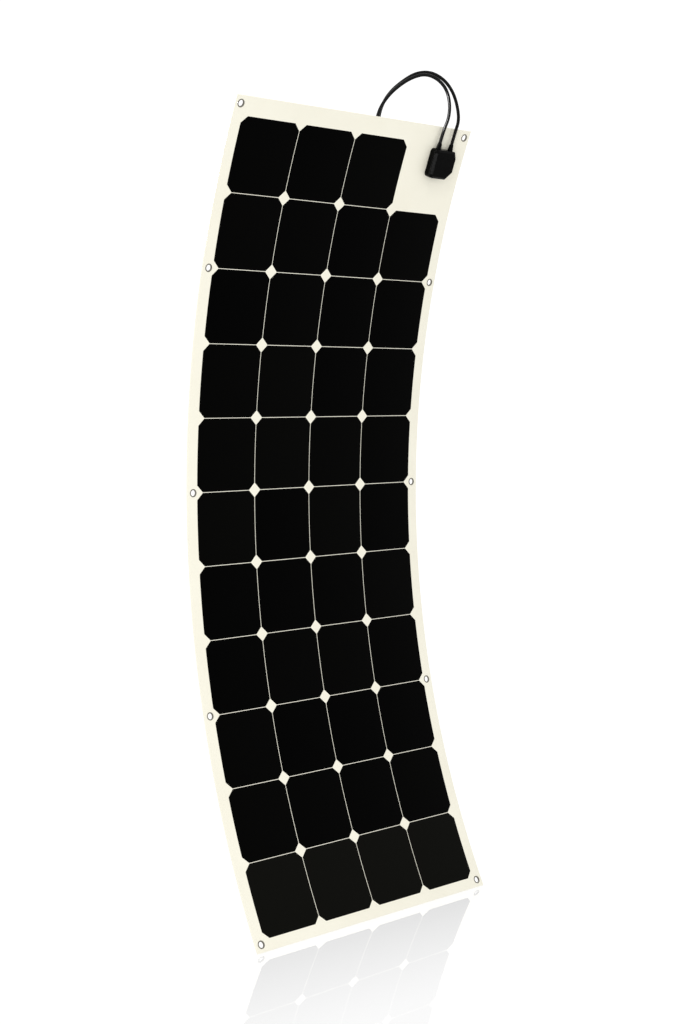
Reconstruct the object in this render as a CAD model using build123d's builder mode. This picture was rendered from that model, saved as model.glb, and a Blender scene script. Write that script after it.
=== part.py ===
"""Flexible solar sheet: a thin curved laminate with eyelets, a junction box and two leads.

The origin is midway between the two middle eyelets, in the middle of the laminate's thickness.
+Z is up, +X is towards the junction box and -Y is the side that the cells face.
Places on the laminate are given as across (along X), along (up the curved middle surface) and
out (from the middle surface towards the cells' side, so a negative value is behind the sheet).
"""
import os
from math import cos, pi, radians, sin, tan

from build123d import *

# Driving dimensions, in millimetres.
BEND_RADIUS = 1610  # of the laminate's middle surface: both ends curl towards -Y
SHEET_WIDTH = 550
TOP_MARGIN = 32.5
BOTTOM_MARGIN = 19.5
FILM_THICKNESS = 0.4
ENCAPSULANT_THICKNESS = 0.8
BACK_THICKNESS = 1.0
BAND_GAP = 0.6

CELL_SIZE = 126
CELL_CORNER = 12
CELL_GAP = 1
CELL_THICKNESS = 0.2
COLUMNS = 4
ROWS_ABOVE_ORIGIN = 5
BAND_ROWS = [(0,), (1, 2), (3,), (4, 5), (6,), (7, 8), (9,), (10,)]

EYELET_ACROSS = 262
EYELET_TOP_INSET = 13.5
EYELET_BOTTOM_INSET = 13
EYELET_BORE = 5.0
EYELET_BARREL = 5.6
EYELET_FLANGE = 7.25
EYELET_FLANGE_THICKNESS = 0.6
EYELET_EDGE = 0.35
EYELET_SEAT = 0.02

RIBBON_WIDTH = 5
RIBBON_THICKNESS = 0.2
RIBBON_OVERLAP = 3
RIBBON_LONG_RISE = 9
RIBBON_SHORT_RISE = 3
RIBBON_BOX_ACROSS = 205
RIBBON_BOX_DROP = 43

BOX_ACROSS = 213.5
BOX_ALONG = 602
BOX_WIDTH = 55
BOX_HEIGHT = 52
BOX_CORNER = 7
BOX_CUT_CORNER = 4.5
BOX_LOWER_CUT = 14
BOX_UPPER_CUT_ACROSS = 6
BOX_UPPER_CUT_ALONG = 12
BOX_WALL = 2
PAD_THICKNESS = 1.2
PAD_INSET = 1.5
BASE_DEPTH = 11
POTTING_DEPTH = 8
SEAL_THICKNESS = 0.8
SEAL_WIDTH = 1.4
LID_DEPTH = 5.2
LID_BEVEL = 3.6
LID_RECESS = 1.4

TERMINAL_WIDTH = 7
TERMINAL_HEIGHT = 22
TERMINAL_DEPTH = 8.6
TERMINAL_SPACING = 24
DIODE_RADIUS = 2.4
DIODE_LENGTH = 9
DIODE_LEG_RADIUS = 0.5
DIODE_SPACING = 10

LEAD_DIAMETER = 6
LEAD_FIRST_RUN = 22
GLAND_SPACING = 30
GLAND_OUT = 7
GLAND_RADIUS = 4.2
GLAND_FLANGE = 4.8
GLAND_FLANGE_THICKNESS = 2
GLAND_TIP = 3.6
GLAND_LENGTH = 11

COIL_ALONG = 625
COIL_RADIUS = 33
COIL_TURNS = 3
COIL_EXIT_TURN = 20  # degrees past the last full turn
COIL_FRONT = 2
COIL_ENTRY = 10  # how far before the coil's tangent point a lead joins it
COIL_ROUNDING = 2.4
COIL_PLUS_ACROSS = 34
COIL_MINUS_ACROSS = 109
TIE_WIDTH = 5
TIE_THICKNESS = 1.2
TIE_SLACK = 0.2
TIE_HEAD = 6
TIE_HEAD_DEPTH = 4

TAIL_RUN = 16
CONNECTOR_GAP = 0.7
NUT_RADIUS = 9.3
NUT_REAR_RADIUS = 5.2
NUT_TAPER = 6
NUT_LENGTH = 20
BODY_RADIUS = 8.2
BODY_LENGTH = 26
PLUG_NOSE_RADIUS = 5.6
SOCKET_NOSE_RADIUS = 9.2
NOSE_LENGTH = 16
NOSE_RECESS = 3
LATCH_WIDTH = 3.4
LATCH_THICKNESS = 1.6

# Sizes worked out from them.
PITCH = CELL_SIZE + CELL_GAP
HALF = (FILM_THICKNESS + ENCAPSULANT_THICKNESS + BACK_THICKNESS) / 2
FILM_BACK = HALF - FILM_THICKNESS
ENCAPSULANT_BACK = FILM_BACK - ENCAPSULANT_THICKNESS
CELL_BACK = FILM_BACK - CELL_THICKNESS
ROWS = sum(len(rows) for rows in BAND_ROWS)
CELLS_TOP = ROWS_ABOVE_ORIGIN * PITCH - CELL_GAP / 2
CELLS_BOTTOM = (ROWS_ABOVE_ORIGIN - ROWS) * PITCH + CELL_GAP / 2
SHEET_TOP = CELLS_TOP + TOP_MARGIN
SHEET_BOTTOM = CELLS_BOTTOM - BOTTOM_MARGIN
COLUMN_CENTRES = [(column - (COLUMNS - 1) / 2) * PITCH for column in range(COLUMNS)]
LEAD_RADIUS = LEAD_DIAMETER / 2
COIL_DEPTH = (COIL_TURNS + 1) * LEAD_DIAMETER
SEAL_BASE = PAD_THICKNESS + BASE_DEPTH
LID_BASE = SEAL_BASE + SEAL_THICKNESS
BOX_FLOOR = PAD_THICKNESS + BOX_WALL
CUT_REACH = 5
ARC_SHARE = 0.45  # of the shorter run at a route's corner
LATCH_SHARE = 0.75  # of the plug's nose

EYELET_ROWS = {
    "eyelets_top": (1, SHEET_TOP - EYELET_TOP_INSET),
    "eyelets_upper": (2, 3 * PITCH),
    "eyelets_middle": (4, 0),
    "eyelets_lower": (6, -3 * PITCH),
    "eyelets_bottom": (8, SHEET_BOTTOM + EYELET_BOTTOM_INSET),
}


def section_point(along, out):
    """Point in the YZ plane, at a height along the sheet and an out."""
    angle = along / BEND_RADIUS
    radius = BEND_RADIUS - out
    return (radius * cos(angle) - BEND_RADIUS, radius * sin(angle))


def surface_plane(across, along, out=0.0):
    """Plane on the laminate: local X across, local Y up the sheet, local Z towards the cells' side."""
    angle = along / BEND_RADIUS
    origin = (across, *section_point(along, out))
    return Plane(origin=origin, x_dir=(1, 0, 0), z_dir=(0, -cos(angle), -sin(angle)))


def curved_slab(low, high, back, front, left, right):
    """Piece of a layer between two heights along the sheet, two outs and two places across."""
    heights = (low, (low + high) / 2, high)
    with BuildPart() as slab:
        with BuildSketch(Plane.YZ.offset(left)):
            with BuildLine():
                near = ThreePointArc(*[section_point(along, front) for along in heights])
                far = ThreePointArc(*[section_point(along, back) for along in heights])
                Line(near @ 0, far @ 0)
                Line(near @ 1, far @ 1)
            make_face()
        extrude(amount=right - left)
    return slab.part


def turned(plane, profile):
    """Solid of revolution about the plane's Z axis from (radius, height) points."""
    section = Plane(origin=plane.origin, x_dir=plane.x_dir, z_dir=-plane.y_dir)
    with BuildPart() as shape:
        with BuildSketch(section):
            with BuildLine():
                Polyline(*profile, close=True)
            make_face()
        revolve(axis=Axis(plane.origin, plane.z_dir))
    return shape.part


def save(part, name):
    part.label = name
    export_step(part, f"parts/{name}.step")


os.makedirs("parts", exist_ok=True)


# Cells: pseudo-square, all alike. The top row leaves the junction box's place empty.
def row_centre(row):
    return (ROWS_ABOVE_ORIGIN - 0.5 - row) * PITCH


def cell_row(row):
    middle = row_centre(row)
    places = COLUMN_CENTRES[:-1] if row == 0 else COLUMN_CENTRES
    layer = curved_slab(
        middle - CELL_SIZE / 2, middle + CELL_SIZE / 2, CELL_BACK, FILM_BACK, -SHEET_WIDTH / 2, SHEET_WIDTH / 2
    )
    with BuildPart() as cells:
        add(layer)
        with BuildSketch(surface_plane(0, middle)) as outlines:
            with Locations(*[(place, 0) for place in places]):
                Rectangle(CELL_SIZE, CELL_SIZE)
            chamfer(outlines.vertices(), length=CELL_CORNER)
        extrude(amount=CUT_REACH, both=True, mode=Mode.INTERSECT)
    return cells.part


# Bus ribbons, behind the cells' edges in the top and bottom margins.
def ribbon(low, high, left, right):
    return curved_slab(low, high, CELL_BACK - RIBBON_THICKNESS, CELL_BACK, left, right)


def ribbon_link(edge, direction, rise, left, right):
    """Strip beside a row of cells with a leg to the cell at each end, as one solid."""
    near = edge + direction * rise
    far = near + direction * RIBBON_WIDTH
    contact = edge - direction * RIBBON_OVERLAP
    strip = ribbon(min(near, far), max(near, far), left - RIBBON_WIDTH / 2, right + RIBBON_WIDTH / 2)
    with BuildPart() as link:
        add(strip)
        for place in (left, right):
            add(ribbon(min(near, contact), max(near, contact), place - RIBBON_WIDTH / 2, place + RIBBON_WIDTH / 2))
    return link.part


def box_ribbon():
    """Strip from the first column, along the top margin, and down behind the junction box."""
    low = CELLS_TOP + RIBBON_LONG_RISE
    high = low + RIBBON_WIDTH
    first = COLUMN_CENTRES[0]
    with BuildPart() as strip:
        add(ribbon(low, high, first - RIBBON_WIDTH / 2, RIBBON_BOX_ACROSS + RIBBON_WIDTH / 2))
        add(ribbon(CELLS_TOP - RIBBON_OVERLAP, low, first - RIBBON_WIDTH / 2, first + RIBBON_WIDTH / 2))
        add(
            ribbon(
                high - RIBBON_BOX_DROP,
                low,
                RIBBON_BOX_ACROSS - RIBBON_WIDTH / 2,
                RIBBON_BOX_ACROSS + RIBBON_WIDTH / 2,
            )
        )
    return strip.part


with BuildPart() as ribbons_top:
    add(box_ribbon())
    add(ribbon_link(CELLS_TOP, 1, RIBBON_SHORT_RISE, COLUMN_CENTRES[1], COLUMN_CENTRES[2]))
save(ribbons_top.part, "bus_ribbons_top")

with BuildPart() as ribbons_bottom:
    add(ribbon_link(CELLS_BOTTOM, -1, RIBBON_SHORT_RISE, COLUMN_CENTRES[0], COLUMN_CENTRES[1]))
    add(ribbon_link(CELLS_BOTTOM, -1, RIBBON_SHORT_RISE, COLUMN_CENTRES[2], COLUMN_CENTRES[3]))
save(ribbons_bottom.part, "bus_ribbons_bottom")


# The laminate, in bands that meet at the hinge lines between rows of cells.
def band_limits(rows):
    high = (ROWS_ABOVE_ORIGIN - rows[0]) * PITCH - BAND_GAP / 2
    low = (ROWS_ABOVE_ORIGIN - 1 - rows[-1]) * PITCH + BAND_GAP / 2
    if rows[0] == 0:
        high = SHEET_TOP
    if rows[-1] == ROWS - 1:
        low = SHEET_BOTTOM
    return low, high


def layer(limits, back, front, holes, pockets=()):
    """One layer of a band with its eyelet holes, less the pieces bedded in it."""
    low, high = limits
    with BuildPart() as sheet:
        add(curved_slab(low, high, back, front, -SHEET_WIDTH / 2, SHEET_WIDTH / 2))
        for along in holes:
            for across in (-EYELET_ACROSS, EYELET_ACROSS):
                with BuildSketch(surface_plane(across, along)):
                    Circle(EYELET_BARREL)
                extrude(amount=CUT_REACH, both=True, mode=Mode.SUBTRACT)
        for pocket in pockets:
            add(pocket, mode=Mode.SUBTRACT)
    return sheet.part


for number, rows in enumerate(BAND_ROWS, start=1):
    limits = band_limits(rows)
    holes = [along for band, along in EYELET_ROWS.values() if band == number]
    with BuildPart() as cells:
        for row in rows:
            add(cell_row(row))
    bedded = [cells.part]
    if rows[0] == 0:
        bedded.append(ribbons_top.part)
    if rows[-1] == ROWS - 1:
        bedded.append(ribbons_bottom.part)
    save(cells.part, f"cells_{number}")
    save(layer(limits, FILM_BACK, HALF, holes), f"front_film_{number}")
    save(layer(limits, ENCAPSULANT_BACK, FILM_BACK, holes, bedded), f"encapsulant_{number}")
    save(layer(limits, -HALF, ENCAPSULANT_BACK, holes), f"back_sheet_{number}")


# Eyelets, crimped through the laminate in pairs.
def eyelet(across, along):
    front = HALF + EYELET_SEAT
    face = front + EYELET_FLANGE_THICKNESS
    rear = -HALF - EYELET_FLANGE_THICKNESS
    profile = [
        (EYELET_BORE, rear),
        (EYELET_FLANGE - EYELET_EDGE, rear),
        (EYELET_FLANGE, rear + EYELET_EDGE),
        (EYELET_FLANGE, -HALF),
        (EYELET_BARREL, -HALF),
        (EYELET_BARREL, front),
        (EYELET_FLANGE, front),
        (EYELET_FLANGE, face - EYELET_EDGE),
        (EYELET_FLANGE - EYELET_EDGE, face),
        (EYELET_BORE, face),
    ]
    return turned(surface_plane(across, along), profile)


for name, (band, along) in EYELET_ROWS.items():
    with BuildPart() as pair:
        add(eyelet(-EYELET_ACROSS, along))
        add(eyelet(EYELET_ACROSS, along))
    save(pair.part, name)


# Junction box, stacked on the cells' side of the sheet.
box_plane = surface_plane(BOX_ACROSS, BOX_ALONG, HALF)
box_out = Axis(box_plane.origin, box_plane.z_dir)


def box_block(start, depth, inset=0.0):
    """Block with the box's outline, made smaller by inset, between two distances from the film."""
    right = BOX_WIDTH / 2
    top = BOX_HEIGHT / 2
    with BuildPart() as block:
        with BuildSketch(box_plane.offset(start)) as outline:
            with BuildLine():
                Polyline(
                    (-right, top),
                    (-right, -top),
                    (right - BOX_LOWER_CUT, -top),
                    (right, -top + BOX_LOWER_CUT),
                    (right, top - BOX_UPPER_CUT_ALONG),
                    (right - BOX_UPPER_CUT_ACROSS, top),
                    close=True,
                )
            make_face()
            corners = outline.vertices().sort_by(Axis.X)
            fillet(corners[:2], radius=BOX_CORNER)
            cut_corners = outline.vertices().filter_by(lambda corner: corner.X > 0)
            fillet(cut_corners, radius=BOX_CUT_CORNER)
            if inset:
                offset(amount=-inset, kind=Kind.INTERSECTION, mode=Mode.REPLACE)
        extrude(amount=depth)
    return block.part


with BuildPart() as adhesive:
    add(box_block(-PAD_THICKNESS, 2 * PAD_THICKNESS, PAD_INSET))
    add(
        curved_slab(
            BOX_ALONG - BOX_HEIGHT, BOX_ALONG + BOX_HEIGHT, -CUT_REACH, HALF, 0, SHEET_WIDTH / 2
        ),
        mode=Mode.SUBTRACT,
    )
save(adhesive.part, "box_adhesive")

gland_places = [-GLAND_SPACING / 2, GLAND_SPACING / 2]
gland_planes = []
for place in gland_places:
    wall_inside = box_plane.from_local_coords((place, BOX_HEIGHT / 2 - BOX_WALL, GLAND_OUT))
    gland_planes.append(Plane(origin=wall_inside, x_dir=(1, 0, 0), z_dir=box_plane.y_dir))

with BuildPart() as base:
    add(box_block(PAD_THICKNESS, BASE_DEPTH))
    add(box_block(BOX_FLOOR, BASE_DEPTH, BOX_WALL), mode=Mode.SUBTRACT)
    for plane in gland_planes:
        with BuildSketch(plane):
            Circle(GLAND_RADIUS)
        extrude(amount=BOX_WALL, mode=Mode.SUBTRACT)
save(base.part, "box_base")

with BuildPart() as terminals:
    with BuildSketch(box_plane.offset(BOX_FLOOR)):
        with GridLocations(TERMINAL_SPACING, 0, 2, 1):
            Rectangle(TERMINAL_WIDTH, TERMINAL_HEIGHT)
    extrude(amount=TERMINAL_DEPTH)
save(terminals.part, "box_terminals")

diode_out = BOX_FLOOR + TERMINAL_DEPTH - DIODE_RADIUS
with BuildPart() as diodes:
    for place in (-DIODE_SPACING / 2, DIODE_SPACING / 2):
        middle = box_plane.from_local_coords((0, place, diode_out))
        with BuildSketch(Plane(origin=middle, x_dir=box_plane.y_dir, z_dir=box_plane.x_dir)):
            Circle(DIODE_RADIUS)
        extrude(amount=DIODE_LENGTH / 2, both=True)
        with BuildSketch(Plane(origin=middle, x_dir=box_plane.y_dir, z_dir=box_plane.x_dir)):
            Circle(DIODE_LEG_RADIUS)
        extrude(amount=(TERMINAL_SPACING - TERMINAL_WIDTH) / 2, both=True)
save(diodes.part, "box_diodes")

with BuildPart() as potting:
    add(box_block(BOX_FLOOR, POTTING_DEPTH, BOX_WALL))
    add(terminals.part, mode=Mode.SUBTRACT)
    add(diodes.part, mode=Mode.SUBTRACT)
save(potting.part, "box_potting")

with BuildPart() as seal:
    add(box_block(SEAL_BASE, SEAL_THICKNESS, (BOX_WALL - SEAL_WIDTH) / 2))
    add(box_block(SEAL_BASE, SEAL_THICKNESS, (BOX_WALL + SEAL_WIDTH) / 2), mode=Mode.SUBTRACT)
save(seal.part, "box_seal")

with BuildPart() as lid:
    add(box_block(LID_BASE, LID_DEPTH))
    chamfer(lid.faces().sort_by(box_out)[-1].edges(), length=LID_BEVEL)
    add(box_block(LID_BASE, LID_RECESS, BOX_WALL + LID_BEVEL), mode=Mode.SUBTRACT)
save(lid.part, "box_lid")

gland_profile = [
    (0, 0),
    (GLAND_RADIUS, 0),
    (GLAND_RADIUS, BOX_WALL),
    (GLAND_FLANGE, BOX_WALL),
    (GLAND_FLANGE, BOX_WALL + GLAND_FLANGE_THICKNESS),
    (GLAND_TIP, BOX_WALL + GLAND_LENGTH),
    (0, BOX_WALL + GLAND_LENGTH),
]
for name, plane in zip(("gland_plus", "gland_minus"), gland_planes):
    save(turned(plane, gland_profile), name)


# Leads: out of the glands, over the top edge and down to a coil behind the sheet.
def route_radii(name, points):
    """As large an arc at each corner as its two runs allow, printed with the route's length."""
    corners = [Vector(*point) for point in points]
    runs = [after - before for before, after in zip(corners, corners[1:])]
    radii = []
    for before, after in zip(runs, runs[1:]):
        half_turn = radians(before.get_angle(after)) / 2
        radii.append(ARC_SHARE * min(before.length, after.length) / tan(half_turn))
    print(name, "runs", [round(run.length, 1) for run in runs], "radii", [round(radius) for radius in radii])
    return radii


def tube(name, points):
    with BuildPart() as cord:
        with BuildLine() as path:
            FilletPolyline(*points, radius=route_radii(name, points))
        with BuildSketch(Plane(origin=path.line @ 0, z_dir=path.line % 0)):
            Circle(LEAD_RADIUS)
        sweep()
    section = pi * LEAD_RADIUS**2
    length = sum(edge.length for edge in path.edges())
    print(name, "length", round(length, 1), "volume ratio", round(cord.part.volume / (section * length), 4))
    save(cord.part, name)


coil_plus = surface_plane(COIL_PLUS_ACROSS, COIL_ALONG, -HALF)
coil_minus = surface_plane(COIL_MINUS_ACROSS, COIL_ALONG, -HALF)
FIRST_TURN = -COIL_FRONT - COIL_DEPTH + LEAD_RADIUS
LAST_TURN = -COIL_FRONT - LEAD_RADIUS
CONNECTOR_AXIS = -NUT_RADIUS - CONNECTOR_GAP
gland_tips = [plane.from_local_coords((0, 0, BOX_WALL + GLAND_LENGTH)) for plane in gland_planes]
first_runs = [plane.from_local_coords((0, 0, BOX_WALL + GLAND_LENGTH + LEAD_FIRST_RUN)) for plane in gland_planes]

tube(
    "lead_plus",
    [
        tuple(gland_tips[0]),
        tuple(first_runs[0]),
        (202, -150, 661),
        (203, -152, 686),
        (200, -147, 712),
        (186, -139, 730),
        (164, -129, 738),
        (139, -120, 730),
        (114, -113, 714),
        (92, -107, 694),
        (75, -103, 670),
        (68, -101, 645),
        tuple(coil_plus.from_local_coords((COIL_RADIUS, COIL_ENTRY, FIRST_TURN))),
    ],
)
tube(
    "lead_minus",
    [
        tuple(gland_tips[1]),
        tuple(first_runs[1]),
        (230, -149, 661),
        (226, -148, 688),
        (218, -144, 712),
        (203, -137, 732),
        (180, -126, 744),
        (152, -116, 740),
        (124, -108, 722),
        (100, -102, 701),
        (84, -98, 676),
        (77, -97, 650),
        tuple(coil_minus.from_local_coords((-COIL_RADIUS, COIL_ENTRY, FIRST_TURN))),
    ],
)

for name, plane, side in (("plus", coil_plus, 1), ("minus", coil_minus, -1)):
    with BuildPart() as coil:
        with BuildSketch(plane.offset(-COIL_FRONT)):
            Circle(COIL_RADIUS + LEAD_RADIUS)
            Circle(COIL_RADIUS - LEAD_RADIUS, mode=Mode.SUBTRACT)
        extrude(amount=-COIL_DEPTH)
        fillet(coil.edges(), radius=COIL_ROUNDING)
    save(coil.part, f"coil_{name}")

    tie_middle = plane.from_local_coords((0, COIL_RADIUS, -COIL_FRONT - COIL_DEPTH / 2))
    loop_height = LEAD_DIAMETER + 2 * TIE_SLACK
    loop_depth = COIL_DEPTH + 2 * TIE_SLACK
    with BuildPart() as tie:
        with BuildSketch(Plane(origin=tie_middle, x_dir=plane.y_dir, z_dir=plane.x_dir)):
            Rectangle(loop_height + 2 * TIE_THICKNESS, loop_depth + 2 * TIE_THICKNESS)
            with Locations((0, -loop_depth / 2 - TIE_HEAD_DEPTH / 2)):
                Rectangle(TIE_HEAD, TIE_HEAD_DEPTH)
            Rectangle(loop_height, loop_depth, mode=Mode.SUBTRACT)
        extrude(amount=TIE_WIDTH / 2, both=True)
    save(tie.part, f"tie_{name}")

    turn = radians(COIL_EXIT_TURN)
    radial = (side * cos(turn), -sin(turn))
    tangent = (-side * sin(turn), -cos(turn))
    leave = [COIL_RADIUS * radial[i] + COIL_ENTRY * tangent[i] for i in range(2)]
    bend = [leave[i] + TAIL_RUN * tangent[i] for i in range(2)]
    end = (bend[0], bend[1] - TAIL_RUN, CONNECTOR_AXIS)
    tail_points = [(*leave, LAST_TURN), (*bend, CONNECTOR_AXIS), end]
    tube(f"tail_{name}", [tuple(plane.from_local_coords(point)) for point in tail_points])

    connector = Plane(origin=plane.from_local_coords(end), x_dir=(1, 0, 0), z_dir=-plane.y_dir)
    nut_profile = [
        (0, 0),
        (NUT_REAR_RADIUS, 0),
        (NUT_RADIUS, NUT_TAPER),
        (NUT_RADIUS, NUT_LENGTH),
        (0, NUT_LENGTH),
    ]
    save(turned(connector, nut_profile), f"connector_nut_{name}")

    nose = PLUG_NOSE_RADIUS if name == "plus" else SOCKET_NOSE_RADIUS
    body_end = NUT_LENGTH + BODY_LENGTH
    nose_end = body_end + NOSE_LENGTH
    body_profile = [
        (0, NUT_LENGTH),
        (BODY_RADIUS, NUT_LENGTH),
        (BODY_RADIUS, body_end),
        (nose, body_end),
        (nose, nose_end),
        (nose - LATCH_THICKNESS, nose_end),
        (nose - LATCH_THICKNESS, nose_end - NOSE_RECESS),
        (0, nose_end - NOSE_RECESS),
    ]
    with BuildPart() as connector_body:
        add(turned(connector, body_profile))
        if name == "plus":
            latch_start = connector.offset(body_end - LATCH_WIDTH)
            with BuildSketch(latch_start):
                with GridLocations(2 * (BODY_RADIUS - LATCH_THICKNESS / 2), 0, 2, 1):
                    Rectangle(LATCH_THICKNESS, LATCH_WIDTH)
            extrude(amount=LATCH_WIDTH + NOSE_LENGTH * LATCH_SHARE)
    save(connector_body.part, f"connector_body_{name}")
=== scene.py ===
"""Looks of a flexible solar sheet with a junction box and two leads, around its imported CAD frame.

Places on the sheet are given as across, along (up the curved sheet) and out (towards the cells' side), in
millimetres, and surface_point turns them into the frame's metres.
"""
import math
import random
from collections import namedtuple

import bpy
from mathutils import Matrix, Quaternion, Vector
from mathutils.geometry import delaunay_2d_cdt


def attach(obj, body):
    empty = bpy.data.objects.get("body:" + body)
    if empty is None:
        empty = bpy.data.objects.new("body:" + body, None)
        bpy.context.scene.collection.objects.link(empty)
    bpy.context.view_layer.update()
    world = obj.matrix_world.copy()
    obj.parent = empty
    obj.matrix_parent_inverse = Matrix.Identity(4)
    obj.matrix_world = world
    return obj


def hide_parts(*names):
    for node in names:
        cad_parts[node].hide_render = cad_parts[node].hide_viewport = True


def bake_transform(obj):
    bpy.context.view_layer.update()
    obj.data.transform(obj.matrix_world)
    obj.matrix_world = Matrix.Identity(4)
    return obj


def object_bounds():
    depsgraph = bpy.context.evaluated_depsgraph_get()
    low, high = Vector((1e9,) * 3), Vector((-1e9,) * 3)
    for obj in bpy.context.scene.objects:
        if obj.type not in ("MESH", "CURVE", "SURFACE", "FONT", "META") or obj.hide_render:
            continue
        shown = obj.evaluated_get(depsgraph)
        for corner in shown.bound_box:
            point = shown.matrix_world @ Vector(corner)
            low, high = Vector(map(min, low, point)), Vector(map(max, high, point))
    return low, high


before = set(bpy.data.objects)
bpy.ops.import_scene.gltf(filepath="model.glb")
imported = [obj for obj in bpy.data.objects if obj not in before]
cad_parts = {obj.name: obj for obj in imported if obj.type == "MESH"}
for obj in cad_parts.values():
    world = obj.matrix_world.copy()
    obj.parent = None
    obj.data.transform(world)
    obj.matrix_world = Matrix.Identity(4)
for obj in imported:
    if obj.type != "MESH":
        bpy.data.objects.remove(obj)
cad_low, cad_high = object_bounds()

MM = 0.001
CHANCE = random.Random(7)

BEND_RADIUS = 1610
HALF_WIDTH = 275
SHEET_TOP = 667
SHEET_BOTTOM = -781
SHEET_FRONT = 1.05
SHEET_BACK = -1.1
EDGE_CHAMFER = 0.4
EDGE_DROP = 0.3
LEVEL_STEP = 9
PLANFORM_LINES = (76, 228)
HOLE_SEGMENTS = 40
SHARP_METAL = 40

PITCH = 127
CELL_HALF = 63
CELL_CORNER = 12
CELL_RIM = 0.7
CELL_RIM_OUT = 1.08
CELL_FRONT = 1.16
CELL_BACK = 0.6
COLUMN_CENTRES = (-1.5 * PITCH, -0.5 * PITCH, 0.5 * PITCH, 1.5 * PITCH)
ROWS = 11
TONE_SPREAD = 0.25
# The last row of cells gets the lightest tone: a painted reflection of the light on the bottom row.
LAST_ROW_PAINTED_REFLECTION = 1.0

EYELET_ACROSS = 262
EYELET_HOLE = 5.7
EYELET_SEGMENTS = 64
EYELETS = {
    "eyelets_top": ("band_1", 653.5),
    "eyelets_upper": ("band_2", 381),
    "eyelets_middle": ("band_4", 0),
    "eyelets_lower": ("band_6", -381),
    "eyelets_bottom": ("band_8", -768),
}

BOX_ACROSS = 213.5
BOX_ALONG = 602
BOX_FACE = 1.1
GLAND_TIP = 37
GLAND_ACROSS = 15
GLAND_OUT = 7
LEAD_DIAMETER = 6
LEAD_FIRST_RUN = 22
COIL_ALONG = 625
COIL_RADIUS = 33
COIL_DEPTHS = (-23, -5)
COIL_ENTRY = 10
TAIL_RUN = 16
CONNECTOR_DEPTH = -10


def surface_point(across, along, out=0.0):
    angle = along / BEND_RADIUS
    radius = BEND_RADIUS - out
    return Vector((across, radius * math.cos(angle) - BEND_RADIUS, radius * math.sin(angle))) * MM


def surface_frame(across, along, out=0.0):
    """Matrix from local millimetres (across, up the sheet, out) to the frame's metres."""
    angle = along / BEND_RADIUS
    right, up = Vector((1, 0, 0)), Vector((0, -math.sin(angle), math.cos(angle)))
    front = right.cross(up)
    axes = Matrix((right, up, front)).transposed().to_4x4()
    return Matrix.Translation(surface_point(across, along, out)) @ axes @ Matrix.Scale(MM, 4)


# Camera.
CAMERA_PLACE = Vector((-1.9108, -2.1665, 0.1807))
CAMERA_AIM = Vector((0.67458, 0.73407, -0.078))
CAMERA_ROLL = math.radians(-0.17)
camera_data = bpy.data.cameras.new("camera")
camera_data.lens = 56.2
camera_data.sensor_width = 36
camera = bpy.data.objects.new("camera", camera_data)
camera.location = CAMERA_PLACE
camera.rotation_mode = "QUATERNION"
camera.rotation_quaternion = Quaternion(CAMERA_AIM, CAMERA_ROLL) @ CAMERA_AIM.to_track_quat("-Z", "Y")
bpy.context.scene.collection.objects.link(camera)
bpy.context.scene.camera = camera


# Materials.
def new_material(name, roughness, metallic=0.0, specular=0.5, coat=0.0, coat_roughness=0.2):
    material = bpy.data.materials.new(name)
    material.use_nodes = True
    shader = material.node_tree.nodes["Principled BSDF"]
    shader.inputs["Roughness"].default_value = roughness
    shader.inputs["Metallic"].default_value = metallic
    shader.inputs["Specular IOR Level"].default_value = specular
    shader.inputs["Coat Weight"].default_value = coat
    shader.inputs["Coat Roughness"].default_value = coat_roughness
    return material, shader


def add_node(material, kind, **inputs):
    node = material.node_tree.nodes.new(kind)
    for name, value in inputs.items():
        node.inputs[name.replace("_", " ")].default_value = value
    return node


def object_noise(material, scale, detail=3.0, stretch=(1, 1, 1)):
    """Noise in the piece's own coordinates; scale is in features per metre."""
    links = material.node_tree.links
    place = add_node(material, "ShaderNodeTexCoord")
    mapping = add_node(material, "ShaderNodeMapping", Scale=stretch)
    noise = add_node(material, "ShaderNodeTexNoise", Scale=scale, Detail=detail)
    links.new(place.outputs["Object"], mapping.inputs["Vector"])
    links.new(mapping.outputs["Vector"], noise.inputs["Vector"])
    return noise.outputs["Fac"]


def mixed_colour(material, shader, factor, dark, light, low=0.3, high=0.7):
    """Base colour that runs from dark to light as factor goes from low to high."""
    links = material.node_tree.links
    ramp = add_node(material, "ShaderNodeValToRGB")
    for element, at, colour in zip(ramp.color_ramp.elements, (low, high), (dark, light)):
        element.position = at
        element.color = (*colour, 1)
    links.new(factor, ramp.inputs["Fac"])
    links.new(ramp.outputs["Color"], shader.inputs["Base Color"])


def varied_roughness(material, shader, factor, low, high):
    links = material.node_tree.links
    span = add_node(material, "ShaderNodeMapRange", To_Min=low, To_Max=high)
    links.new(factor, span.inputs["Value"])
    links.new(span.outputs["Result"], shader.inputs["Roughness"])


def bumped(material, shader, height, strength, distance):
    links = material.node_tree.links
    bump = add_node(material, "ShaderNodeBump", Strength=strength, Distance=distance)
    links.new(height, bump.inputs["Height"])
    links.new(bump.outputs["Normal"], shader.inputs["Normal"])


def plain_material(name, dark, light, roughness, grain, bump_depth, **finish):
    """Material with a fine grain: colour from dark to light, roughness from low to high, and a bump."""
    material, shader = new_material(name, roughness[0], **finish)
    mixed_colour(material, shader, object_noise(material, grain / 6), dark, light)
    varied_roughness(material, shader, object_noise(material, grain / 3), *roughness)
    bumped(material, shader, object_noise(material, grain), 0.6, bump_depth)
    return material


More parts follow.
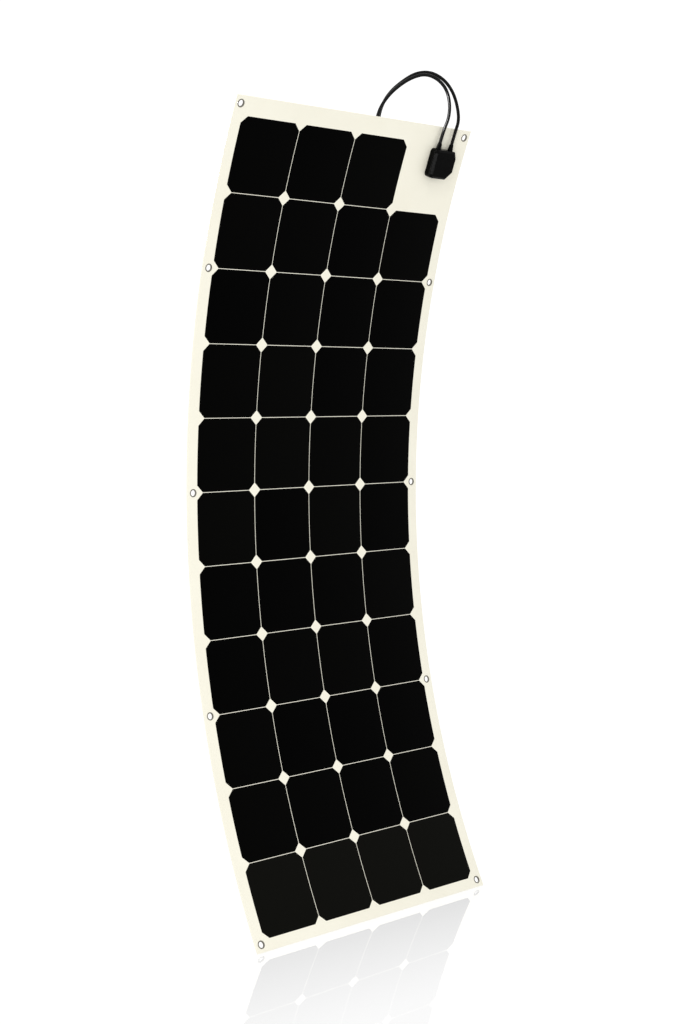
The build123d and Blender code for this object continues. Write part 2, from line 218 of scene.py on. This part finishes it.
IVORY_DARK = (0.815, 0.785, 0.662)
IVORY_LIGHT = (0.840, 0.815, 0.697)
laminate_material, laminate_shader = new_material("laminate_film", 0.4, coat=0.12, coat_roughness=0.22)
mixed_colour(laminate_material, laminate_shader, object_noise(laminate_material, 9), IVORY_DARK, IVORY_LIGHT)
varied_roughness(laminate_material, laminate_shader, object_noise(laminate_material, 60), 0.36, 0.48)
bumped(laminate_material, laminate_shader, object_noise(laminate_material, 900, 2), 0.5, 0.00006)

cell_material, cell_shader = new_material("cell_silicon", 0.35, specular=0.012)
# Colour from each face's tone: random tone up to the spread, and at the light end the painted reflection on the last
# row.
tone_and_painted_reflection = add_node(cell_material, "ShaderNodeAttribute")
tone_and_painted_reflection.attribute_name = "tone_and_painted_reflection"
mixed_colour(cell_material, cell_shader, tone_and_painted_reflection.outputs["Fac"], (0.0002, 0.0002, 0.0002), (0.0040, 0.0040, 0.0032), 0, 1)
varied_roughness(cell_material, cell_shader, object_noise(cell_material, 40), 0.28, 0.42)
bumped(cell_material, cell_shader, object_noise(cell_material, 900, 2), 0.4, 0.00005)

# The eyelets' dark colour is partly their gunmetal finish and partly painted shade for the ring's crevice and its dark
# reflections.
eyelet_material = plain_material(
    "eyelet_metal", (0.13, 0.12, 0.10), (0.20, 0.19, 0.16), (0.16, 0.28), 900, 0.00003, metallic=1.0
)
box_material = plain_material(
    "box_plastic", (0.0010, 0.0010, 0.0010), (0.0022, 0.0022, 0.0021), (0.15, 0.24), 1300, 0.00002, specular=0.025
)
lead_material = plain_material(
    "lead_sheath", (0.0012, 0.0012, 0.0012), (0.0024, 0.0024, 0.0024), (0.18, 0.28), 700, 0.00002, specular=0.10
)
connector_material = plain_material(
    "connector_plastic", (0.009, 0.009, 0.010), (0.014, 0.014, 0.014), (0.42, 0.55), 1100, 0.00006, specular=0.4
)
rubber_material = plain_material(
    "seal_rubber", (0.010, 0.010, 0.010), (0.016, 0.016, 0.015), (0.6, 0.75), 900, 0.00005, specular=0.3
)
adhesive_material = plain_material(
    "adhesive_foam", (0.50, 0.50, 0.49), (0.60, 0.60, 0.58), (0.7, 0.85), 1500, 0.0001, specular=0.2
)
metal_material = plain_material(
    "tinned_metal", (0.55, 0.54, 0.52), (0.68, 0.67, 0.65), (0.2, 0.35), 700, 0.00002, metallic=1.0
)
potting_material = plain_material(
    "potting_gel", (0.011, 0.011, 0.012), (0.016, 0.016, 0.017), (0.12, 0.25), 150, 0.00008, specular=0.5
)
tie_material = plain_material(
    "tie_nylon", (0.012, 0.012, 0.012), (0.018, 0.018, 0.018), (0.35, 0.5), 800, 0.00003, specular=0.4
)


# Mesh making.
def new_piece(name, points, faces, material, sharp=30.0):
    mesh = bpy.data.meshes.new(name)
    mesh.from_pydata(points, [], faces)
    mesh.validate()
    mesh.polygons.foreach_set("use_smooth", [True] * len(mesh.polygons))
    mesh.set_sharp_from_angle(angle=math.radians(sharp))
    mesh.materials.append(material)
    piece = bpy.data.objects.new(name, mesh)
    bpy.context.scene.collection.objects.link(piece)
    return piece


def slab(flat_points, flat_faces, front, back):
    """Closed slab over faces drawn on the sheet: front and back give the out of a flat point."""
    count = len(flat_points)
    points = [surface_point(x, y, front(x, y)) for x, y in flat_points]
    points += [surface_point(x, y, back(x, y)) for x, y in flat_points]
    faces = [list(face) for face in flat_faces]
    faces += [[count + corner for corner in reversed(face)] for face in flat_faces]
    sides = {(face[i - 1], face[i]) for face in flat_faces for i in range(len(face))}
    for a, b in sorted(sides):
        if (b, a) not in sides:
            faces.append([a, count + a, count + b, b])
    return points, faces


def levels_between(low, high, step=LEVEL_STEP):
    count = math.ceil((high - low) / step)
    return [low + (high - low) * i / count for i in range(count + 1)]


def lathe(profile, segments, place, wave=None):
    """Closed turned shape about local Z from a loop of (radius, height) points.

    wave(angle, radius, height) scales the radius. The faces look outwards where the loop runs clockwise.
    """
    count = len(profile)
    points, faces = [], []
    for step in range(segments):
        angle = 2 * math.pi * step / segments
        for radius, height in profile:
            turned = radius * (wave(angle, radius, height) if wave else 1)
            points.append(place @ Vector((turned * math.cos(angle), turned * math.sin(angle), height)))
    for step in range(segments):
        here, there = step * count, (step + 1) % segments * count
        for i in range(count):
            j = (i + 1) % count
            faces.append([here + j, there + j, there + i, here + i])
    return points, faces


def joined(shapes):
    """Several (points, faces) shapes as one."""
    points, faces = [], []
    for more_points, more_faces in shapes:
        offset = len(points)
        points += more_points
        faces += [[offset + corner for corner in face] for face in more_faces]
    return points, faces


def pressed(outline, width, place):
    """Flat shape of an outline in local X and Z, width thick along Y."""
    points = [place @ Vector((x, side * width / 2, z)) for side in (-1, 1) for x, z in outline]
    count = len(outline)
    faces = [list(range(count)), list(range(2 * count - 1, count - 1, -1))]
    faces += [[(i + 1) % count, i, count + i, count + (i + 1) % count] for i in range(count)]
    return points, faces


# Leads: one spline each, from the gland over the top edge, round the coil and out to the connector.
LEAD_ROUTES = {
    "plus": [
        (202, -150, 661), (203, -152, 686), (200, -147, 712), (186, -139, 730), (164, -129, 738),
        (139, -120, 730), (114, -113, 714), (92, -107, 694), (75, -103, 670), (68, -101, 645),
    ],
    "minus": [
        (230, -149, 661), (226, -148, 688), (218, -144, 712), (203, -137, 732), (180, -126, 744),
        (152, -116, 740), (124, -108, 722), (100, -102, 701), (84, -98, 676), (77, -97, 650),
    ],
}
# Which way the coil is wound, where the gland is across the box, where the coil is across the sheet, and the length.
LEADS = {"plus": (1, -GLAND_ACROSS, 34, 0.99), "minus": (-1, GLAND_ACROSS, 109, 1.01)}
COIL_STEPS = 49
COIL_SWEEP = math.radians(3 * 360 + 20)
box_place = surface_frame(BOX_ACROSS, BOX_ALONG, BOX_FACE)


def coil_route(side, place):
    """Points round the coil and out to the connector; the coil's own step keeps its turns a diameter apart."""
    step = COIL_SWEEP / COIL_STEPS
    radius = COIL_RADIUS / math.cos(step / 2)
    route = [place @ Vector((side * COIL_RADIUS, COIL_ENTRY, COIL_DEPTHS[0]))]
    for i in range(COIL_STEPS):
        angle = (i + 0.5) * step
        depth = min(COIL_DEPTHS[0] + LEAD_DIAMETER * angle / (2 * math.pi), COIL_DEPTHS[1])
        route.append(place @ Vector((side * radius * math.cos(angle), -radius * math.sin(angle), depth)))
    heading = Vector((-side * math.sin(COIL_SWEEP), -math.cos(COIL_SWEEP), 0))
    leaving = Vector((side * math.cos(COIL_SWEEP), -math.sin(COIL_SWEEP), 0)) * COIL_RADIUS + heading * COIL_ENTRY
    bend = leaving + heading * TAIL_RUN
    route.append(place @ (leaving + Vector((0, 0, COIL_DEPTHS[1]))))
    route.append(place @ (bend + Vector((0, 0, CONNECTOR_DEPTH))))
    route.append(place @ (bend + Vector((0, -TAIL_RUN, CONNECTOR_DEPTH))))
    return route


# Connectors at the leads' ends, turned about the lead: local Z runs out of the nut, down the sheet. Their loops run
# anticlockwise, so the faces of the nuts, bodies and contacts look inwards.
GRIP_RIBS = 20
GRIP_DEPTH = 0.055
GRIP_SPAN = (6, 18)
GRIP_RADIUS = 9
NUT_SEGMENTS = 8 * GRIP_RIBS
BODY_SEGMENTS = 96
CONTACT_SEGMENTS = 32
NUT_PROFILE = [
    (3.1, 0.3), (4.7, 0.1), (5.2, 0.6), (6.2, 1.9), (7.5, 3.8), (8.6, 5.3), (9.1, 6.2), (9.3, 7.6), (9.3, 12),
    (9.3, 16.8), (9.1, 18.1), (8.6, 18.9), (8.3, 19.7), (3.1, 19.7),
]
BARREL = [
    (2.4, 20), (7.4, 20), (7.7, 20.3), (7.7, 22.4), (8.1, 22.8), (8.2, 23.4), (8.2, 25.6), (7.9, 26.1), (7.5, 26.4),
    (7.5, 28), (7.9, 28.3), (8.2, 28.8), (8.2, 36), (8.2, 43.6), (8.05, 44.8), (7.5, 45.7),
]
BODY_PROFILES = {
    "plus": BARREL + [
        (6.2, 46), (5.6, 46.2), (5.6, 49.5), (5.1, 49.8), (5.1, 51.2), (5.6, 51.5), (5.6, 60.8), (5.3, 61.6),
        (4.8, 61.9), (4.2, 61.7), (4.0, 61), (3.9, 51), (2.4, 51),
    ],
    "minus": BARREL + [
        (8.3, 46), (8.9, 46.4), (9.2, 47.2), (9.2, 60.2), (9.0, 61.3), (8.4, 61.9), (7.9, 61.7), (7.6, 61), (7.5, 52),
        (2.4, 52),
    ],
}
CONTACT_PROFILES = {
    "plus": [(0.9, 48), (2.3, 48), (2.3, 58), (2.1, 59), (1.7, 59.4), (0.9, 59.4)],
    "minus": [(1.2, 48), (3.3, 48), (3.3, 57.5), (3.1, 58.3), (2.6, 58.5), (2.3, 58.2), (2.2, 50), (1.2, 50)],
}
LATCH_OUTLINE = [
    (6.9, 41.5), (8.0, 41.5), (8.3, 42.3), (8.3, 54.2), (9.0, 55.6), (9.0, 56.6), (8.0, 59), (7.2, 59), (6.9, 58.2),
]
LATCH_THICKNESS = 3.4
FLATS = 4
FLAT_DEPTH = 0.05
FLAT_RADIUS = 7.8
FLAT_START = 26.3


def grip(angle, radius, height):
    """Ribs round the nut."""
    gripped = radius > GRIP_RADIUS and GRIP_SPAN[0] < height < GRIP_SPAN[1]
    return 1 - GRIP_DEPTH * (0.5 - 0.5 * math.cos(GRIP_RIBS * angle)) ** 0.5 if gripped else 1


def flats(angle, radius, height):
    """Shallow flats round the barrel."""
    flattened = radius > FLAT_RADIUS and height > FLAT_START
    return 1 - FLAT_DEPTH * max(math.cos(FLATS * angle), 0) if flattened else 1


def facing_down(place):
    """The turn and scale of a frame, with local Z down the sheet."""
    return (place.to_3x3() @ Matrix.Rotation(math.pi / 2, 3, "X")).to_4x4()


def make_connector(name, place):
    body = lathe(BODY_PROFILES[name], BODY_SEGMENTS, place, flats)
    if name == "plus":
        half_turn = Matrix.Rotation(math.pi, 4, "Z")
        body = joined([body] + [pressed(LATCH_OUTLINE, LATCH_THICKNESS, side) for side in (place, place @ half_turn)])
    nut = lathe(NUT_PROFILE, NUT_SEGMENTS, place, grip)
    contact = lathe(CONTACT_PROFILES[name], CONTACT_SEGMENTS, place)
    for label, shape, material, slot, cad_nodes in (
        (f"gripped_nut_{name}", nut, connector_material, "connector", [f"connector_nut_{name}"]),
        (f"latched_body_{name}", body, connector_material, "connector", [f"connector_body_{name}"]),
        (f"contact_{name}", contact, metal_material, "terminal", []),
    ):
        piece = new_piece(label, *shape, material, SHARP_METAL)
        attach(piece, "band_1")
        if cad_nodes:
            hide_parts(*cad_nodes)


for name, (side, gland_across, coil_across, length) in LEADS.items():
    gland_tip = box_place @ Vector((gland_across, GLAND_TIP, GLAND_OUT))
    route = [gland_tip, box_place @ Vector((gland_across, GLAND_TIP + LEAD_FIRST_RUN, GLAND_OUT))]
    route += [Vector(point) * MM for point in LEAD_ROUTES[name]]
    coil_place = surface_frame(coil_across, COIL_ALONG, SHEET_BACK)
    winding = coil_route(side, coil_place)
    route += winding
    make_connector(name, Matrix.Translation(winding[-1]) @ facing_down(coil_place))
    curve = bpy.data.curves.new(f"lead_cable_{name}", "CURVE")
    curve.dimensions = "3D"
    curve.bevel_depth = LEAD_DIAMETER / 2 * MM
    curve.bevel_resolution = 5
    curve.use_fill_caps = True
    curve.resolution_u = 10
    spline = curve.splines.new("NURBS")
    spline.points.add(len(route) - 1)
    for point, place in zip(spline.points, route):
        point.co = (*place, 1)
    spline.order_u = 3
    spline.use_endpoint_u = True
    curve.materials.append(lead_material)
    lead = bpy.data.objects.new(f"lead_cable_{name}", curve)
    bpy.context.scene.collection.objects.link(lead)
    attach(lead, "band_1")
    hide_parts(f"lead_{name}", f"coil_{name}", f"tail_{name}")


# The laminate, in strips that each hold one hinge, with the bodies above and below it and the places along the sheet
# where its bend would run from (start) and to (end); nothing here bends them.
Strip = namedtuple("Strip", "low high upper_body lower_body start end bands")
STRIPS = [
    Strip(372, SHEET_TOP, "band_1", "band_2", 566, 393, (1, 2)),
    Strip(190.5, 372, "band_2", "band_3", 369, 190.5, (3,)),
    Strip(-9, 190.5, "band_3", "band_4", 190.5, 12, (4,)),
    Strip(-190.5, -9, "band_4", "band_5", -12, -190.5, (5,)),
    Strip(-390, -190.5, "band_5", "band_6", -190.5, -369, (6,)),
    Strip(-571.5, -390, "band_6", "band_7", -393, -571.5, (7,)),
    Strip(SHEET_BOTTOM, -571.5, "band_7", "band_8", -571.5, -708, (8,)),
]
CELL_STRIP_EDGES = (SHEET_TOP, 381, 190.5, 0, -190.5, -381, -571.5, SHEET_BOTTOM)


def at_sheet_edge(x, y):
    return abs(x) > HALF_WIDTH - 0.01 or y > SHEET_TOP - 0.01 or y < SHEET_BOTTOM + 0.01


def sheet_front(x, y):
    return SHEET_FRONT - (EDGE_DROP if at_sheet_edge(x, y) else 0)


def sheet_back(x, y):
    return SHEET_BACK + (EDGE_DROP if at_sheet_edge(x, y) else 0)


def sheet_planform(low, high):
    """Triangles over a strip of the sheet, with level lines for its curve and round holes for its eyelets."""
    levels = levels_between(low, high)
    if high == SHEET_TOP:
        levels.insert(-1, high - EDGE_CHAMFER)
    if low == SHEET_BOTTOM:
        levels.insert(1, low + EDGE_CHAMFER)
    rights = (*PLANFORM_LINES, HALF_WIDTH - EDGE_CHAMFER, HALF_WIDTH)
    columns = (*[-x for x in reversed(rights)], *rights)
    flat = [Vector((x, y)) for y in levels for x in columns]
    width = len(columns)
    edges = [(i, i + 1) for i in range(len(flat) - 1) if (i + 1) % width]
    edges += [(i, i + width) for i in range(len(flat) - width)]
    holes = [
        Vector((side * EYELET_ACROSS, along))
        for _, along in EYELETS.values() if low < along < high
        for side in (-1, 1)
    ]
    for hole in holes:
        first = len(flat)
        for i in range(HOLE_SEGMENTS):
            angle = 2 * math.pi * i / HOLE_SEGMENTS
            flat.append(hole + EYELET_HOLE * Vector((math.cos(angle), math.sin(angle))))
            edges.append((first + i, first + (i + 1) % HOLE_SEGMENTS))
    points, _, faces, _, _, _ = delaunay_2d_cdt(flat, edges, [], 0, 1e-5)
    kept = []
    for face in faces:
        middle = sum((points[corner] for corner in face), Vector((0, 0))) / len(face)
        if all((middle - hole).length > EYELET_HOLE * 0.999 for hole in holes):
            kept.append(face)
    return [tuple(point) for point in points], kept


def bend_with_sheet(piece):
    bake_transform(piece)


for number, strip in enumerate(STRIPS, start=1):
    flat_points, flat_faces = sheet_planform(strip.low, strip.high)
    points, faces = slab(flat_points, flat_faces, sheet_front, sheet_back)
    piece = new_piece(f"laminate_strip_{number}", points, faces, laminate_material)
    bend_with_sheet(piece)
    for band in strip.bands:
        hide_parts(f"front_film_{band}", f"encapsulant_{band}", f"back_sheet_{band}")


# Cells: pseudo-square, each raised a little by the film that is drawn down round its rim.
def cell_front(x, y):
    inset = min(CELL_HALF - abs(x), CELL_HALF - abs(y), (2 * CELL_HALF - CELL_CORNER - abs(x) - abs(y)) / 2**0.5)
    return CELL_RIM_OUT + (CELL_FRONT - CELL_RIM_OUT) * min(max(inset / CELL_RIM, 0), 1)


def cell_width(y, inset):
    return min(CELL_HALF - inset, 2 * CELL_HALF - CELL_CORNER - inset * 2**0.5 - abs(y))


def cell_shape(across, middle, low, high):
    """The part of one cell that lies between two places along the sheet."""
    marks = [CELL_HALF, CELL_HALF - CELL_RIM, CELL_HALF - CELL_CORNER, CELL_HALF - CELL_CORNER - CELL_RIM / 2]
    marks = sorted({sign * mark for mark in marks for sign in (-1, 1)} | {low, high})
    levels = []
    for before, after in zip(marks, marks[1:]):
        if before >= low and after <= high:
            levels += levels_between(before, after)[:-1]
    levels.append(high)
    flat = []
    for y in levels:
        outer, inner = cell_width(y, 0), cell_width(y, CELL_RIM)
        flat += [(-outer, y), (-inner, y), (inner, y), (outer, y)]
    width = 4
    faces = [[i, i + 1, i + width + 1, i + width] for i in range(len(flat) - width - 1) if (i + 1) % width]
    placed = [(across + x, middle + y) for x, y in flat]
    outs = {place: cell_front(x, y) for place, (x, y) in zip(placed, flat)}
    return slab(placed, faces, lambda x, y: outs[(x, y)], lambda x, y: CELL_BACK)


tones_and_painted_reflection = {(row, column): TONE_SPREAD * CHANCE.random() for row in range(ROWS) for column in range(4)}
# The last row takes the lightest tone, a painted reflection; the other cells differ in tone at random.
for column in range(4):
    tones_and_painted_reflection[ROWS - 1, column] = LAST_ROW_PAINTED_REFLECTION
for number, strip in enumerate(STRIPS, start=1):
    high, low = CELL_STRIP_EDGES[number - 1], CELL_STRIP_EDGES[number]
    shapes, face_tones_and_reflection = [], []
    for row in range(ROWS):
        middle = (4.5 - row) * PITCH
        bottom, top = max(low - middle, -CELL_HALF), min(high - middle, CELL_HALF)
        if top <= bottom:
            continue
        for column, across in enumerate(COLUMN_CENTRES):
            if row == 0 and column == 3:
                continue
            shape = cell_shape(across, middle, bottom, top)
            shapes.append(shape)
            face_tones_and_reflection += [tones_and_painted_reflection[row, column]] * len(shape[1])
    points, faces = joined(shapes)
    piece = new_piece(f"cell_strip_{number}", points, faces, cell_material)
    tone_and_reflection_layer = piece.data.attributes.new("tone_and_painted_reflection", "FLOAT", "FACE")
    tone_and_reflection_layer.data.foreach_set("value", face_tones_and_reflection)
    bend_with_sheet(piece)
    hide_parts(*[f"cells_{band}" for band in strip.bands])


# Eyelets: rolled metal rings, crimped on both sides.
EYELET_PROFILE = [
    (5.1, -1.25), (5.1, 1.2), (5.18, 1.5), (5.38, 1.72), (5.7, 1.85), (6.05, 1.88), (6.45, 1.76), (6.8, 1.5),
    (7.0, 1.2), (7.0, 1.04), (5.6, 1.04), (5.6, -1.09), (7.0, -1.09), (7.0, -1.3), (6.8, -1.55), (6.4, -1.7),
    (5.9, -1.72), (5.45, -1.6), (5.2, -1.45),
]
for name, (band, along) in EYELETS.items():
    shapes = [lathe(EYELET_PROFILE, EYELET_SEGMENTS, surface_frame(side * EYELET_ACROSS, along)) for side in (-1, 1)]
    piece = new_piece(f"rolled_{name}", *joined(shapes), eyelet_material, SHARP_METAL)
    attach(piece, band)
    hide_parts(name)


# CAD pieces that keep their shape: a material each, and edges softened by so many millimetres.
WELD_REACH = 0.01
SOFTENED_ANGLE = math.radians(35)
KEPT = {
    "box_adhesive": (adhesive_material, 0),
    "box_base": (box_material, 0.5),
    "box_seal": (rubber_material, 0),
    "box_lid": (box_material, 0.6),
    "box_terminals": (metal_material, 0.3),
    "box_diodes": (box_material, 0.2),
    "box_potting": (potting_material, 0),
    "bus_ribbons_top": (metal_material, 0),
    "bus_ribbons_bottom": (metal_material, 0),
    "gland_plus": (box_material, 0.4),
    "gland_minus": (box_material, 0.4),
    "tie_plus": (tie_material, 0.25),
    "tie_minus": (tie_material, 0.25),
}
for name, (material, edge) in KEPT.items():
    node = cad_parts[name]
    node.data.materials.clear()
    node.data.materials.append(material)
    if edge:
        weld = node.modifiers.new("weld", "WELD")
        weld.merge_threshold = WELD_REACH * MM
        bevel = node.modifiers.new("bevel", "BEVEL")
        bevel.width = edge * MM
        bevel.segments = 3
        bevel.limit_method = "ANGLE"
        bevel.angle_limit = SOFTENED_ANGLE


# Floor: clear gloss over the white room, so nothing shades it; the reflection fades away from the sheet's foot.
FADE_SPAN = (-0.50, -0.19)
FADE_LEVELS = (0.85, 1.65)
floor_material = bpy.data.materials.new("floor_gloss")
floor_material.use_nodes = True
floor_nodes = floor_material.node_tree.nodes
floor_nodes.remove(floor_nodes["Principled BSDF"])
floor_clear = add_node(floor_material, "ShaderNodeBsdfTransparent")
floor_mirror = add_node(floor_material, "ShaderNodeBsdfGlossy", Color=(1, 1, 1, 1), Roughness=0.0)
floor_mix = add_node(floor_material, "ShaderNodeMixShader")
floor_grazing = add_node(floor_material, "ShaderNodeFresnel", IOR=1.5)
floor_place = add_node(floor_material, "ShaderNodeTexCoord")
floor_axes = add_node(floor_material, "ShaderNodeSeparateXYZ")
floor_fade = add_node(
    floor_material, "ShaderNodeMapRange", From_Min=FADE_SPAN[0], From_Max=FADE_SPAN[1], To_Min=FADE_LEVELS[0],
    To_Max=FADE_LEVELS[1],
)
floor_share = add_node(floor_material, "ShaderNodeMath")
floor_share.operation = "MULTIPLY"
for source, target in (
    (floor_place.outputs["Object"], floor_axes.inputs["Vector"]),
    (floor_axes.outputs["Y"], floor_fade.inputs["Value"]),
    (floor_grazing.outputs["Fac"], floor_share.inputs[0]),
    (floor_fade.outputs["Result"], floor_share.inputs[1]),
    (floor_share.outputs["Value"], floor_mix.inputs[0]),
    (floor_clear.outputs["BSDF"], floor_mix.inputs[1]),
    (floor_mirror.outputs["BSDF"], floor_mix.inputs[2]),
    (floor_mix.outputs["Shader"], floor_nodes["Material Output"].inputs["Surface"]),
):
    floor_material.node_tree.links.new(source, target)
FLOOR_REACH = 12
floor_mesh = bpy.data.meshes.new("floor")
floor_mesh.from_pydata(
    [(x, y, cad_low.z) for x, y in ((-1, -1), (1, -1), (1, 1), (-1, 1))], [], [[0, 1, 2, 3]]
)
floor_mesh.transform(Matrix.Diagonal((FLOOR_REACH, FLOOR_REACH, 1, 1)))
floor_mesh.materials.append(floor_material)
floor = bpy.data.objects.new("floor", floor_mesh)
bpy.context.scene.collection.objects.link(floor)


# Light: a white room that looks brighter than it lights, a soft key, a fill at the left, and two spots that put
# highlights on the box and the leads.
ROOM_LIGHT = 0.885
ROOM_SEEN = 1.1
world = bpy.data.worlds.new("studio")
world.use_nodes = True
bpy.context.scene.world = world
background = world.node_tree.nodes["Background"]
background.inputs["Color"].default_value = (1, 1, 1, 1)
rays = add_node(world, "ShaderNodeLightPath")
room = add_node(world, "ShaderNodeMix", A=ROOM_SEEN, B=ROOM_LIGHT)
world.node_tree.links.new(rays.outputs["Is Diffuse Ray"], room.inputs["Factor"])
world.node_tree.links.new(room.outputs["Result"], background.inputs["Strength"])


def add_light(name, kind, place, aim, energy, **settings):
    data = bpy.data.lights.new(name, kind)
    data.energy = energy
    for setting, value in settings.items():
        setattr(data, setting, value)
    light = bpy.data.objects.new(name, data)
    light.location = place
    light.rotation_mode = "QUATERNION"
    light.rotation_quaternion = (Vector(aim) - Vector(place)).to_track_quat("-Z", "Y")
    bpy.context.scene.collection.objects.link(light)
    return light


add_light("key", "SUN", (-2.0, -2.2, 2.0), (0, 0, 0), 0.3, angle=math.radians(12))
fill = add_light("fill", "AREA", (-1.6, -1.4, 0.35), (0, 0, 0.2), 14, shape="RECTANGLE", size=0.9, size_y=1.6)
fill.visible_glossy = False
add_light(
    "rim", "SPOT", (-2.4, -0.1, 0.85), (0.2, -0.14, 0.64), 1000, spot_size=math.radians(12), spot_blend=0.6,
    shadow_soft_size=0.12,
)
add_light(
    "glint", "SPOT", (-2.02, -2.14, -0.58), (0.19, -0.15, 0.60), 28, spot_size=math.radians(7), spot_blend=0.6,
    shadow_soft_size=0.15,
)

bpy.context.scene.view_settings.view_transform = "Standard"
